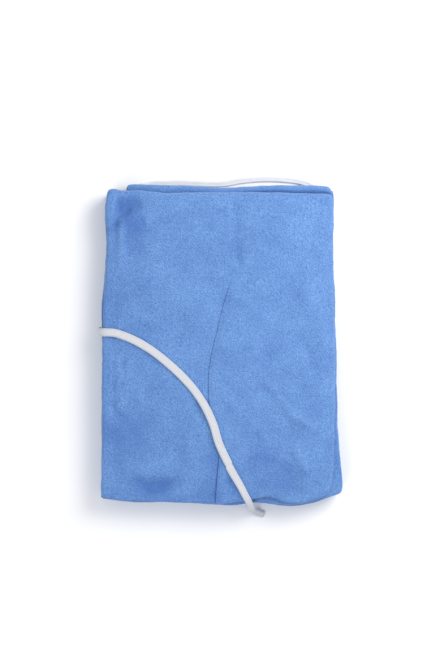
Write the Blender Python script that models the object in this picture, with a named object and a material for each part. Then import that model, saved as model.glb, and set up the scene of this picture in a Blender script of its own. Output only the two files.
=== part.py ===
"""Folded surgical gown of blue nonwoven cloth, with its white ties.

The packet lies on z = 0 with +Y towards its top fold. Tables and sizes are in
millimetres, and meshes are in metres.
"""

import math

import bpy
import numpy as np

MM = 0.001


def table(names, *rows):
    """A short table whose columns are read by name."""
    return np.array(list(rows), dtype=[(name, float) for name in names.split()])


# Driving dimensions of the packet
CLOTH_WALL = 1.5
SEAM_GAP = 0.3
OVERLAP_GAP = 0.45
ROLL_CLEARANCE = 0.9
MIDDLE_GAP = 0.5
TOP_HEIGHT = 29.4
ROLL_REACH = 4.0
RETURN_LEG = 3.0
LOW_ROUNDING = 2.6

# Edges of the top: how far they fall and corners pull in, and how close to the edge
EDGE_DROP = 2.2
SIDE_SHARPNESS = 7
END_SHARPNESS = 9
CORNER_PULL = 2.6
CORNER_SHARPNESS = 18
RELIEF_EDGE = 0.93

# The right part is raised over the left one, then comes down between these distances
OVERLAP_FLAT = 36.0
OVERLAP_END = 62.0

# Grid of the cloth on top: columns left and right of the middle edge, and rows
LEFT_COLUMNS = 11
RIGHT_COLUMNS = 12
TUCKED_COLUMNS = 3
ROWS = 28
CROWDING = 0.055
ROLL_STEPS = 6
NOSE_STEPS = 3

# Rear fold
REAR_FIRST_COLUMN = 2
REAR_TUCK = 1.0
REAR_RIGHT_END = 111.2
REAR_UNDERSIDE = 6.2
REAR_REACH = 6.0
REAR_LOWER_LEG = 3.5

# Ties: flat tape with rounded edges
TIE_WIDTH = 8.0
TIE_THICKNESS = 2.2
NECK_TIE_WIDTH = 5.6
WAIST_TIE_SPACING = 5.8
NECK_TIE_SPACING = 9.0
STEEP_RUN = 0.45

# Edges of the packet at the sides, of the cloth on top and of the layers below it
SIDES = table(
    "along left left_low right right_low",
    (-162.0, -119.8, -120.2, 108.6, 121.2),
    (-148.0, -120.0, -120.3, 110.0, 121.9),
    (-120.0, -119.6, -120.2, 112.0, 119.6),
    (-90.0, -119.0, -119.6, 112.8, 115.8),
    (-40.0, -119.2, -120.2, 112.8, 114.4),
    (10.0, -118.8, -119.8, 112.4, 113.4),
    (60.0, -116.6, -117.6, 112.0, 113.0),
    (105.0, -114.8, -115.6, 111.6, 112.6),
    (140.0, -116.4, -117.0, 111.6, 112.6),
    (162.0, -114.8, -115.4, 111.2, 112.2),
)

# Edges at the two ends: front fold, rear fold behind it, layers inside that,
# lower edge of the cloth on top and of the layers below it
ENDS = table(
    "across front rear inner lower lower_low",
    (-121.0, 155.4, 159.0, 151.0, -152.8, -153.6),
    (-111.0, 157.2, 159.6, 152.0, -153.6, -154.6),
    (-101.0, 154.8, 160.4, 153.0, -154.4, -155.4),
    (-85.0, 154.6, 161.3, 156.4, -155.2, -156.4),
    (-62.0, 152.0, 161.0, 156.4, -155.8, -156.8),
    (-30.0, 152.4, 159.6, 155.4, -156.8, -158.0),
    (-6.0, 152.6, 158.6, 154.6, -157.8, -159.4),
    (8.0, 152.6, 158.4, 154.4, -157.2, -162.0),
    (28.0, 152.6, 159.8, 155.4, -154.4, -161.2),
    (45.0, 152.2, 160.6, 156.2, -152.0, -160.4),
    (70.0, 151.8, 160.6, 156.2, -154.6, -161.6),
    (95.0, 151.4, 160.4, 155.8, -152.4, -157.4),
    (110.0, 151.0, 159.8, 155.0, -147.4, -153.0),
    (121.0, 150.6, 159.0, 153.6, -142.6, -147.6),
)

# Long middle edge, where the right part lies over the left part
MIDDLE_EDGE = table(
    "along across",
    (-162.0, -6.0),
    (-136.0, -4.4),
    (-112.0, -2.6),
    (-76.0, -9.2),
    (-33.0, -12.2),
    (25.0, -1.0),
    (86.0, 14.8),
    (140.0, 18.0),
    (162.0, 18.6),
)

# Largest swells and hollows of the cloth on top
RELIEF = table(
    "x0 y0 x1 y1 spread rise",
    (-102.0, 141.0, -87.0, 145.0, 8.5, -2.4),
    (-110.0, 116.0, -94.0, 136.0, 6.5, -1.8),
    (-110.0, 150.0, -113.0, 120.0, 5.5, 1.2),
    (-21.0, 95.0, 34.0, 92.0, 13.0, -1.4),
    (-76.0, -135.0, -46.0, -139.0, 9.5, -2.4),
    (-86.0, -116.0, -54.0, -119.0, 10.0, 1.2),
    (37.0, -125.0, 68.0, -131.0, 14.0, -1.8),
    (80.0, -108.0, 87.0, -136.0, 9.0, 1.2),
    (41.0, -36.0, 71.0, -72.0, 9.0, 1.1),
    (71.0, -72.0, 97.0, -88.0, 9.0, 1.1),
    (-104.0, 0.0, -105.0, -55.0, 7.0, -1.4),
    (84.0, 60.0, 100.0, 5.0, 11.0, 1.2),
)

# Stacked fold edges below the cloth on top, on each side of the packet: heights, and
# how far each fold stays behind the lower edge. The roll is the turned edge of the cloth.
STACK = table(
    "roll_bottom fold_wall upper_low middle_low base_top"
    " upper_back middle_back base_back groove",
    (19.5, 0.0, 13.4, 6.8, 6.2, 0.8, 0.0, 1.8, 4.0),
    (16.5, 2.0, 11.6, 8.2, 3.0, 0.2, 0.4, 0.0, 8.0),
    (21.5, 0.0, 14.6, 7.4, 6.8, 1.4, 0.0, 1.2, 4.5),
    (22.0, 0.0, 14.0, 7.0, 6.4, 0.0, 0.8, 1.6, 4.5),
)
LEFT_SIDE, TOP_END, RIGHT_SIDE, LOWER_END = range(4)
GROOVE_HEIGHT = 0.4

# Parts of the half length over which the sides' stack turns into the ends' stack,
# and over which the unevenness of its folds dies out towards the rear fold
STACK_TURN = (0.80, 0.99)
SWAY_END = (0.75, 0.95)

# Unevenness of each stacked fold round the packet: waves in one turn, and size
SWAY = table(
    "waves shift out up",
    (5.0, 0.4, 0.5, 0.35),
    (8.0, 2.1, 0.4, 0.30),
    (13.0, 4.4, 0.35, 0.25),
)

# Where the layers on the left side part round the waist tie
TIE_EXIT_ALONG = 13.4
TIE_POCKET_SPREAD = 18.0
TIE_POCKET_HEIGHT = 4.6
TIE_POCKET_DEPTH = 4.0

# Route of the waist tie, from between the layers on the left side to its free end
WAIST_TIE_ROUTE = table(
    "x y z",
    (-115.5, 13.4, 13.4),
    (-119.0, 13.4, 13.4),
    (-121.7, 13.3, 14.8),
    (-122.9, 13.1, 17.8),
    (-122.9, 12.8, 21.6),
    (-121.5, 12.4, 25.8),
    (-117.8, 12.1, 28.8),
    (-112.8, 12.0, 30.2),
    (-107.0, 11.6, 30.6),
    (-100.0, 9.6, 30.7),
    (-85.0, 3.4, 31.1),
    (-70.0, -5.6, 31.3),
    (-54.0, -18.0, 31.3),
    (-38.0, -33.0, 31.4),
    (-26.2, -46.4, 31.7),
    (-15.8, -62.1, 32.7),
    (-7.6, -80.2, 33.0),
    (-2.3, -98.2, 33.0),
    (2.6, -109.6, 32.9),
    (12.4, -128.8, 32.6),
    (18.5, -139.6, 32.1),
    (23.8, -150.0, 31.4),
    (26.6, -155.2, 29.6),
    (28.7, -160.0, 25.8),
    (30.0, -163.6, 20.6),
    (31.0, -165.2, 14.4),
    (32.2, -166.6, 8.4),
    (34.4, -168.4, 3.8),
    (38.2, -170.2, 1.7),
    (43.6, -172.0, 1.3),
)

# Route of the neck tie, out of the layers below the rear fold and back into them
NECK_TIE_ROUTE = table(
    "x y z",
    (-89.0, 152.6, 4.7),
    (-85.0, 156.4, 4.7),
    (-79.0, 160.0, 3.7),
    (-71.0, 161.9, 1.8),
    (-56.0, 162.6, 1.3),
    (-41.0, 163.0, 1.3),
    (-26.0, 162.4, 1.3),
    (-6.0, 161.8, 1.3),
    (6.0, 162.6, 1.3),
    (19.0, 165.0, 1.3),
    (34.0, 166.6, 1.3),
    (49.0, 167.2, 1.3),
    (64.0, 166.6, 1.3),
    (78.0, 164.8, 1.4),
    (88.0, 161.8, 2.6),
    (94.0, 157.6, 4.4),
    (97.0, 152.8, 4.7),
)


def clear_scene():
    for obj in list(bpy.data.objects):
        bpy.data.objects.remove(obj)


def finish(name, colour, roughness):
    """A plain material of one colour, given as linear red, green and blue."""
    material = bpy.data.materials.new(name)
    material.use_nodes = True
    shader = material.node_tree.nodes["Principled BSDF"]
    shader.inputs["Base Color"].default_value = (*colour, 1.0)
    shader.inputs["Roughness"].default_value = roughness
    shader.inputs["Metallic"].default_value = 0.0
    return material


def mesh_object(name, points, faces, material):
    """A smooth-shaded mesh object from points in millimetres."""
    mesh = bpy.data.meshes.new(name)
    mesh.from_pydata((points * MM).tolist(), [], faces)
    mesh.validate()
    mesh.shade_smooth()
    mesh.materials.append(material)
    obj = bpy.data.objects.new(name, mesh)
    bpy.context.scene.collection.objects.link(obj)
    return obj


def smooth_curve(positions, knots, values):
    """Cubic curve through the knots, with the slope at each one from its neighbours."""
    slopes = np.gradient(values, knots)
    first = np.clip(np.searchsorted(knots, positions) - 1, 0, len(knots) - 2)
    width = knots[first + 1] - knots[first]
    part = np.clip((positions - knots[first]) / width, 0.0, 1.0)
    rise = values[first + 1] - values[first]
    start = slopes[first] * width - rise
    end = rise - slopes[first + 1] * width
    bend = part * (1 - part) * (start * (1 - part) + end * part)
    return values[first] + rise * part + bend


def read(rows, column, positions):
    return smooth_curve(positions, rows[rows.dtype.names[0]], rows[column])


def ease(low, high, value):
    """0 below low and 1 above high, with a smooth step between."""
    part = np.clip((value - low) / (high - low), 0.0, 1.0)
    return part * part * (3 - 2 * part)


def crowd(part):
    """Spacing from 0 to 1 that is closer at both ends."""
    return part - CROWDING * np.sin(2 * math.pi * part)


def plan_grid():
    """Plan positions of the flat part of the cloth, and how near each is to the edges."""
    left_part = np.linspace(0, 1, LEFT_COLUMNS + 1)
    right_part = np.linspace(1, 2, RIGHT_COLUMNS + 1)
    across = crowd(np.concatenate([left_part, right_part]) / 2)[None, :]
    on_right_part = (np.arange(across.size) > LEFT_COLUMNS)[None, :]
    along = crowd(np.linspace(0, 1, ROWS + 1))[:, None]
    low, high = ENDS["lower"].mean(), ENDS["front"].mean()
    y = low + (high - low) * along + 0 * across
    for _ in range(3):
        left = read(SIDES, "left", y) + ROLL_REACH
        right = read(SIDES, "right", y) - ROLL_REACH
        middle = read(MIDDLE_EDGE, "across", y)
        on_left = left + (middle - MIDDLE_GAP - left) * across * 2
        on_right = middle + (right - middle) * (across * 2 - 1)
        x = np.where(on_right_part, on_right, on_left)
        top = read(ENDS, "front", x) - ROLL_REACH
        bottom = read(ENDS, "lower", x) + ROLL_REACH
        y = bottom + (top - bottom) * along
    side = 2 * across - 1 + 0 * along
    end = 2 * along - 1 + 0 * across
    corner = np.abs(side * end) ** CORNER_SHARPNESS * CORNER_PULL
    return x - np.sign(side) * corner, y - np.sign(end) * corner, side, end


def relief(x, y):
    """Sum of soft swells and hollows, each falling away from the line that it follows."""
    total = np.zeros_like(x)
    for fold in RELIEF:
        run = np.array([fold["x1"] - fold["x0"], fold["y1"] - fold["y0"]])
        part = ((x - fold["x0"]) * run[0] + (y - fold["y0"]) * run[1]) / (run @ run)
        part = np.clip(part, 0, 1)
        away = np.hypot(
            x - fold["x0"] - part * run[0], y - fold["y0"] - part * run[1]
        )
        total += fold["rise"] * np.exp(-((away / fold["spread"]) ** 2))
    return total


def top_height(x, y, side, end):
    """Height of the cloth on top of the packet, crowned and falling to the edges."""
    inside = (1 - np.abs(side) ** SIDE_SHARPNESS) * (1 - np.abs(end) ** END_SHARPNESS)
    near_edge = ease(RELIEF_EDGE, 1.0, np.maximum(np.abs(side), np.abs(end)))
    return TOP_HEIGHT - EDGE_DROP * (1 - inside) + relief(x, y) * (1 - near_edge)


def lift_over_left(x, y):
    """How far the right part is raised where it lies over the tucked left part."""
    past_edge = x - read(MIDDLE_EDGE, "across", y)
    return (CLOTH_WALL + OVERLAP_GAP) * (1 - ease(OVERLAP_FLAT, OVERLAP_END, past_edge))


def border(grid):
    """The grid's outer points, once round anticlockwise from its lower left corner."""
    return np.concatenate(
        [grid[0, :-1], grid[:-1, -1], grid[-1, :0:-1], grid[:0:-1, 0]]
    )


def outward(x, y):
    """Unit normals of a closed loop in plan."""
    run = np.roll(np.stack([x, y]), -1, axis=1) - np.roll(np.stack([x, y]), 1, axis=1)
    normal = np.stack([run[1], -run[0]])
    return normal / np.hypot(*normal)


def at_border(column, side, end):
    """A column of the stack table for each border point, eased from side to end."""
    values = STACK[column]
    by_side = np.where(side < 0, values[LEFT_SIDE], values[RIGHT_SIDE])
    by_end = np.where(end > 0, values[TOP_END], values[LOWER_END])
    return by_side + (by_end - by_side) * ease(*STACK_TURN, np.abs(end))


def sway(kind, fold, x, y, end):
    """Uneven shift of one stacked fold round the packet, none at the rear fold."""
    turn = np.arctan2(y, x)
    waves = sum(
        wave[kind] * np.sin(wave["waves"] * turn + wave["shift"] * (fold + 1))
        for wave in SWAY
    )
    return waves * (1 - ease(*SWAY_END, end))


def low_reach(x, y, normal):
    """How far the lower layers reach out from the flat part of the cloth on top."""
    left = read(SIDES, "left", y) - read(SIDES, "left_low", y)
    right = read(SIDES, "right_low", y) - read(SIDES, "right", y)
    top = read(ENDS, "inner", x) - read(ENDS, "front", x)
    bottom = read(ENDS, "lower", x) - read(ENDS, "lower_low", x)
    by_side = np.where(normal[0] < 0, left, right)
    by_end = np.where(normal[1] > 0, top, bottom)
    return ROLL_REACH + by_side + (by_end - by_side) * ease(0.2, 0.8, normal[1] ** 2)


def ring(x, y, normal, reach, z):
    """One ring of points round the packet, moved out by reach at height z."""
    return np.stack([x + normal[0] * reach, y + normal[1] * reach, z + 0 * x], axis=1)


def grid_faces(columns, rows, first=0):
    """Quads of a grid of points that is stored row by row, facing up."""
    corner = first + np.arange(rows)[:, None] * (columns + 1) + np.arange(columns)
    corner = corner.reshape(-1, 1)
    return np.hstack([corner, corner + 1, corner + columns + 2, corner + columns + 1])


def cap_border(columns, rows):
    return border(np.arange((columns + 1) * (rows + 1)).reshape(rows + 1, columns + 1))


def strip_faces(upper, lower, closed):
    """Quads between two rows of point numbers, the upper row first."""
    end = len(upper) if closed else len(upper) - 1
    here = np.arange(end)
    after = (here + 1) % len(upper)
    return np.stack([upper[here], lower[here], lower[after], upper[after]], axis=1)


def roll_underside(x, y, side, end):
    """Height of the underside of the turned edge of the cloth on top."""
    return at_border("roll_bottom", side, end) + sway("up", 0, x, y, end)


def roll_rows(x, y, normal, top, bottom, inset):
    """Rings of the turned edge, from the top round to its underside, inset by a wall."""
    middle = (top + bottom) / 2
    half = (top - bottom) / 2 - inset
    rows = []
    for turn in np.linspace(0, math.pi, ROLL_STEPS + 1)[1:]:
        reach = (ROLL_REACH - inset) * math.sin(turn)
        rows.append(ring(x, y, normal, reach, middle + half * math.cos(turn)))
    return rows


def nose_rows(x, y, normal, reach, top, bottom):
    """Rings of one rounded fold edge of the hidden layers, from its top to its foot."""
    half = (top - bottom) / 2
    bulge = np.minimum(half, LOW_ROUNDING)
    rows = []
    for turn in np.linspace(0, math.pi, NOSE_STEPS + 1):
        out = reach - bulge * (1 - math.sin(turn))
        height = bottom + half * (1 + math.cos(turn))
        rows.append(ring(x, y, normal, out, height))
    return rows


def folded_layers(material):
    """All hidden layers as one rounded solid, whose sides are stacked fold edges."""
    x, y, side, end = plan_grid()
    wall = CLOTH_WALL + SEAM_GAP
    height = top_height(x, y, side, end) - CLOTH_WALL - 2 * SEAM_GAP
    bx, by, top = border(x), border(y), border(height)
    normal = outward(bx, by)
    stack = {
        name: at_border(name, border(side), border(end)) for name in STACK.dtype.names
    }
    parted = np.exp(-(((by - TIE_EXIT_ALONG) / TIE_POCKET_SPREAD) ** 2)) * (bx < 0)
    out = [(1 - parted) * sway("out", fold, bx, by, border(end)) for fold in range(3)]
    up = [(1 - parted) * sway("up", fold, bx, by, border(end)) for fold in range(3)]
    roll_bottom = roll_underside(bx, by, border(side), border(end))
    groove = stack["groove"]
    reach = low_reach(bx, by, normal)
    slot_floor = roll_bottom - SEAM_GAP - stack["fold_wall"]
    upper_low = stack["upper_low"] + TIE_POCKET_HEIGHT / 2 * parted + up[1]
    middle_top = upper_low - GROOVE_HEIGHT - TIE_POCKET_HEIGHT * parted
    middle_low = stack["middle_low"] + up[2]
    base_top = stack["base_top"] + up[2]
    upper_out = reach - stack["upper_back"] + out[0]
    middle_out = reach - stack["middle_back"] + out[1]
    base_out = reach - stack["base_back"] + out[2]
    slot = -(RETURN_LEG + 2 * SEAM_GAP)
    tie_slot = reach - groove - TIE_POCKET_DEPTH * parted
    inset = CLOTH_WALL + ROLL_CLEARANCE
    rings = roll_rows(bx, by, normal, top + wall, roll_bottom, inset)
    rings += [ring(bx, by, normal, slot, roll_bottom + wall)]
    rings += [ring(bx, by, normal, slot, slot_floor)]
    rings += nose_rows(bx, by, normal, upper_out, slot_floor, upper_low)
    rings += [ring(bx, by, normal, tie_slot, upper_low)]
    rings += [ring(bx, by, normal, tie_slot, middle_top)]
    rings += nose_rows(bx, by, normal, middle_out, middle_top, middle_low)
    rings += [ring(bx, by, normal, reach - groove, middle_low)]
    rings += [ring(bx, by, normal, reach - groove, base_top)]
    rings += nose_rows(bx, by, normal, base_out, base_top, 0 * bx)
    points = [np.stack([x, y, height], axis=2).reshape(-1, 3)] + rings
    faces = [grid_faces(x.shape[1] - 1, x.shape[0] - 1)]
    upper = cap_border(x.shape[1] - 1, x.shape[0] - 1)
    count = x.size
    for _ in rings:
        lower = count + np.arange(len(bx))
        faces.append(strip_faces(upper, lower, closed=True))
        upper = lower
        count += len(bx)
    faces = np.concatenate(faces).tolist() + [upper[::-1].tolist()]
    return mesh_object("folded_layers", np.concatenate(points), faces, material)


def top_panel(name, columns, raised, turned, material):
    """A part of the cloth on top: a thin wall whose edges in turned go round the packet's."""
    whole = plan_grid()
    normals = np.zeros((2, whole[0].size))
    numbers = np.arange(whole[0].size).reshape(whole[0].shape)
    normals[:, border(numbers)] = outward(border(whole[0]), border(whole[1]))
    normal = normals[:, turned(numbers[:, columns])]
    x, y, side, end = (grid[:, columns] for grid in whole)
    height = top_height(x, y, side, end)
    if raised:
        height = height + lift_over_left(x, y)
    local = turned(np.arange(x.size).reshape(x.shape))
    bx, by, top = x.ravel()[local], y.ravel()[local], height.ravel()[local]
    roll_bottom = roll_underside(bx, by, side.ravel()[local], end.ravel()[local])
    rows = roll_rows(bx, by, normal, top, roll_bottom, 0.0)
    rows += [ring(bx, by, normal, -RETURN_LEG, roll_bottom)]
    points = [np.stack([x, y, height], axis=2).reshape(-1, 3)] + rows
    faces = [grid_faces(x.shape[1] - 1, x.shape[0] - 1)]
    upper = local
    count = x.size
    for _ in rows:
        lower = count + np.arange(len(local))
        faces.append(strip_faces(upper, lower, closed=False))
        upper = lower
        count += len(local)
    faces = np.concatenate(faces).tolist()
    obj = mesh_object(name, np.concatenate(points), faces, material)
    give_wall(obj)
    return obj


def give_wall(obj):
    wall = obj.modifiers.new("cloth wall", "SOLIDIFY")
    wall.thickness = CLOTH_WALL * MM
    wall.offset = -1


def left_panel(material):
    """Left part of the body, tucked under the right part along the middle edge."""
    columns = slice(0, LEFT_COLUMNS + TUCKED_COLUMNS + 2)
    last = LEFT_COLUMNS + 1

    def turned(grid):
        top, low = grid[-1, :last], grid[0, :last]
        return np.concatenate([top[:0:-1], grid[:0:-1, 0], low])

    return top_panel("left_panel", columns, False, turned, material)


def right_panel(material):
    """Right part of the body, lying over the left part."""
    columns = slice(LEFT_COLUMNS + 1, LEFT_COLUMNS + RIGHT_COLUMNS + 2)

    def turned(grid):
        return np.concatenate([grid[0, :-1], grid[:-1, -1], grid[-1, ::-1]])

    return top_panel("right_panel", columns, True, turned, material)


def rear_fold(material):
    """Fold of the body that looks out behind the front fold, open towards the layers."""
    x, y, *_ = plan_grid()
    x = np.append(x[-1, REAR_FIRST_COLUMN:-1], REAR_RIGHT_END)
    front = read(ENDS, "front", x) - ROLL_REACH
    rear = read(ENDS, "rear", x)
    top = STACK["roll_bottom"][TOP_END] - SEAM_GAP
    middle = (top + REAR_UNDERSIDE) / 2
    half = (top - REAR_UNDERSIDE) / 2
    rows = [np.stack([x, front + REAR_TUCK, top + 0 * x], axis=1)]
    for turn in np.linspace(0, math.pi, ROLL_STEPS + 1):
        out = rear - REAR_REACH * (1 - math.sin(turn))
        height = middle + half * math.cos(turn) + 0 * x
        rows.append(np.stack([x, out, height], axis=1))
    inside = rear - REAR_REACH - REAR_LOWER_LEG
    rows.append(np.stack([x, inside, REAR_UNDERSIDE + 0 * x], axis=1))
    faces = grid_faces(len(x) - 1, len(rows) - 1).tolist()
    obj = mesh_object("rear_fold", np.concatenate(rows), faces, material)
    give_wall(obj)
    return obj


def level_turns(points):
    """Tilt at each point that lays the tape's width level.

    A curve of least twist carries its first frame along, so the tilt is the angle from
    the carried width to the level one. It is read from both sides where the tape is steep.
    """
    run = np.diff(points, axis=0)
    run /= np.linalg.norm(run, axis=1)[:, None]
    along = np.vstack([run[:1], run[:-1] + run[1:], run[-1:]])
    along /= np.linalg.norm(along, axis=1)[:, None]
    level = np.cross([0.0, 0.0, 1.0], along)
    steep = np.linalg.norm(level, axis=1) < STEEP_RUN
    carried = level[0] / np.linalg.norm(level[0])
    angles = [0.0]
    for before, here, flat in zip(along[:-1], along[1:], level[1:]):
        axis = np.cross(before, here)
        carried = (
            carried * (before @ here)
            + np.cross(axis, carried)
            + axis * (axis @ carried) / (1 + before @ here)
        )
        flat = flat * (1.0 if flat @ carried > 0 else -1.0)
        angles.append(math.atan2(np.cross(carried, flat) @ here, carried @ flat))
    place = np.arange(len(points))
    angles = np.interp(place, place[~steep], np.array(angles)[~steep])
    return math.pi / 2 + angles


def tie(name, route, width, spacing, material):
    """Flat tape with rounded edges along a smooth curve through the route's points."""
    stops = np.stack([route[axis] for axis in "xyz"], axis=1)
    run = np.concatenate(
        [[0.0], np.cumsum(np.linalg.norm(np.diff(stops, axis=0), axis=1))]
    )
    along = np.linspace(0, run[-1], int(run[-1] / spacing) + 1)
    points = np.stack([smooth_curve(along, run, stops[:, i]) for i in range(3)], axis=1)
    curve = bpy.data.curves.new(name, "CURVE")
    curve.dimensions = "3D"
    curve.twist_mode = "MINIMUM"
    curve.fill_mode = "FULL"
    curve.use_fill_caps = True
    curve.bevel_depth = TIE_THICKNESS / 2 * MM
    curve.bevel_resolution = 2
    curve.extrude = (width - TIE_THICKNESS) / 2 * MM
    spline = curve.splines.new("POLY")
    spline.points.add(len(points) - 1)
    spline.points.foreach_set("co", np.insert(points * MM, 3, 1.0, axis=1).ravel())
    spline.points.foreach_set("tilt", level_turns(points))
    curve.materials.append(material)
    obj = bpy.data.objects.new(name, curve)
    bpy.context.scene.collection.objects.link(obj)
    return obj


def main():
    clear_scene()
    cloth = finish("blue spunbond cloth", (0.15, 0.31, 0.66), 0.75)
    shaded_cloth = finish("blue spunbond cloth, inner layers", (0.12, 0.26, 0.58), 0.8)
    tape = finish("white folded tape", (0.72, 0.74, 0.76), 0.8)
    folded_layers(shaded_cloth)
    left_panel(cloth)
    right_panel(cloth)
    rear_fold(cloth)
    tie("waist_tie", WAIST_TIE_ROUTE, TIE_WIDTH, WAIST_TIE_SPACING, tape)
    tie("neck_tie", NECK_TIE_ROUTE, NECK_TIE_WIDTH, NECK_TIE_SPACING, tape)


main()
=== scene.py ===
# %% [markdown]
# # A folded surgical gown
# The gown is a large sheet of thin blue nonwoven cloth, folded many times into a flat
# packet. Its two body parts meet in one long edge on the upper face, all its folds show
# as stacked edges at the sides, and a white waist tie runs across the face. The solids
# of the part are already packed. This script builds the finished look around them.
#
# ## The fixed frame
# The imported solids are loaded first, because every piece below has to sit where they sit.

# %% Load the solids
import math

import bpy
import numpy as np
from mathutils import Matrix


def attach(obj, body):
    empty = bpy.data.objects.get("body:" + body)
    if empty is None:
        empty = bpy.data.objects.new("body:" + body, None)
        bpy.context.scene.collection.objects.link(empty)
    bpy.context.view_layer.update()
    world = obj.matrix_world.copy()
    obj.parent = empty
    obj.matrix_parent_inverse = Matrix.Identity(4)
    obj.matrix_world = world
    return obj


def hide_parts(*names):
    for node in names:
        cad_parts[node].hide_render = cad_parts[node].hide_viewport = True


MM = 0.001

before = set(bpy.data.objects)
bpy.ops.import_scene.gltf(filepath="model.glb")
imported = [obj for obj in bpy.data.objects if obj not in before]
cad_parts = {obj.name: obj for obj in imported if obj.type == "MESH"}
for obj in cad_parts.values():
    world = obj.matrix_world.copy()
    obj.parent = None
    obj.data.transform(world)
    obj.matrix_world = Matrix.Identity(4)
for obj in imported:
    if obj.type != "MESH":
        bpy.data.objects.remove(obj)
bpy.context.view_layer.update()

# %% [markdown]
# ## The camera
# The packet is seen from straight above, from so far away that its sides hardly show.
# One pixel is one millimetre at the height of the upper face's edge, so the lens follows
# from the picture's height, the sensor and the distance.

# %% Camera over the packet
PICTURE_HEIGHT = 659.0  # pixels, and millimetres at the height given next
SHARP_LEVEL = 25.0
CAMERA_DISTANCE = 2375.0
PICTURE_CENTRE = (-1.75, 15.1)
SENSOR = 36.0


def new_object(name, data):
    """An object at the origin that shows this data."""
    obj = bpy.data.objects.new(name, data)
    bpy.context.scene.collection.objects.link(obj)
    return obj


lens_data = bpy.data.cameras.new("camera")
lens_data.sensor_width = SENSOR
lens_data.lens = SENSOR * CAMERA_DISTANCE / PICTURE_HEIGHT
camera = new_object("camera", lens_data)
camera.location = np.array([*PICTURE_CENTRE, SHARP_LEVEL + CAMERA_DISTANCE]) * MM
bpy.context.scene.camera = camera
print("lens:", round(lens_data.lens, 1), "mm")

# %% [markdown]
# ## Tools for short tables and soft curves
# Sizes are kept in short tables with named columns, in millimetres. A cubic curve reads
# them anywhere between their rows, and a smooth step joins one shape to the next.

# %% Tables, curves and smooth steps


def table(names, *rows):
    """A short table whose columns are read by name."""
    return np.array(list(rows), dtype=[(name, float) for name in names.split()])


def ease(low, high, value):
    """0 below low and 1 above high. Between them it is t * t * (3 - 2 * t)."""
    part = np.clip((value - low) / (high - low), 0.0, 1.0)
    return part * part * (3 - 2 * part)


def smooth_curve(positions, knots, values):
    """Cubic through the knots. The slope at a knot comes from its two neighbours."""
    slopes = np.gradient(values, knots)
    first = np.clip(np.searchsorted(knots, positions) - 1, 0, len(knots) - 2)
    width = knots[first + 1] - knots[first]
    part = np.clip((positions - knots[first]) / width, 0.0, 1.0)
    rise = values[first + 1] - values[first]
    start = slopes[first] * width - rise
    end = rise - slopes[first + 1] * width
    bend = part * (1 - part) * (start * (1 - part) + end * part)
    return values[first] + rise * part + bend


def read(rows, column, positions):
    """A table's column at any place along its first column."""
    return smooth_curve(positions, rows[rows.dtype.names[0]], rows[column])


def unit(vectors):
    """Each row divided by its length."""
    return vectors / np.linalg.norm(vectors, axis=-1, keepdims=True)


def soft_noise(x, y, size, seed):
    """Gradient noise between about -1 and 1.

    Each corner of a square lattice has a slope in a random direction, and the slopes of
    the four corners round a point are blended with a smooth step.
    """
    turns = np.random.default_rng(seed).uniform(0, 2 * math.pi, (64, 64))
    u, v = np.asarray(x) / size + 20.3, np.asarray(y) / size + 20.7
    column, row = np.floor(u).astype(int), np.floor(v).astype(int)
    across, along = ease(0, 1, u - column), ease(0, 1, v - row)

    def slope(right, up):
        turn = turns[(row + up) % 64, (column + right) % 64]
        return np.cos(turn) * (u - column - right) + np.sin(turn) * (v - row - up)

    near = slope(0, 0) * (1 - across) + slope(1, 0) * across
    far = slope(0, 1) * (1 - across) + slope(1, 1) * across
    return 1.5 * (near * (1 - along) + far * along)


def line_noise(place, size, seed):
    """The same noise read along a line."""
    return soft_noise(place, 0 * place, size, seed)


def bent(x, y, reach, size, seed):
    """Places moved sideways by noise, so that what is worked out from them wanders."""
    return x + reach * soft_noise(x, y, size, seed), y + reach * soft_noise(x, y, size, seed + 1)


# %% [markdown]
# ## From arrays to a mesh
# All surfaces below are grids of points. One function turns points and quads into an
# object at the origin. The others number the points of a grid, and give the quads of a
# grid, of a band between two rows, and of a tube that is closed at both ends.

# %% Mesh helpers


def numbered(grid, start=0):
    """The numbers of a grid's points, row by row."""
    return start + np.arange(grid.size).reshape(grid.shape)


def grid_faces(rows, columns):
    """Quads of a grid of points that is stored row by row, facing up."""
    corner = (np.arange(rows - 1)[:, None] * columns + np.arange(columns - 1)).reshape(-1, 1)
    return np.hstack([corner, corner + 1, corner + columns + 1, corner + columns])


def band_faces(upper, lower, closed):
    """Quads between two rows of point numbers, the upper row first."""
    here = np.arange(len(upper) if closed else len(upper) - 1)
    after = (here + 1) % len(upper)
    return np.stack([upper[here], lower[here], lower[after], upper[after]], axis=1)


def tube_faces(numbers):
    """Faces of a closed tube: quads between its rows of point numbers, and a fan in each end.

    The middle points of the two fans come right after the last row's points.
    """
    bands = [band_faces(*pair, closed=True) for pair in zip(numbers, numbers[1:])]
    faces = np.concatenate(bands).tolist()
    first, last = numbers[0].tolist(), numbers[-1].tolist()
    faces += [[numbers.size, a, b] for a, b in zip(first, first[1:] + first[:1])]
    faces += [[numbers.size + 1, b, a] for a, b in zip(last, last[1:] + last[:1])]
    return faces


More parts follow.
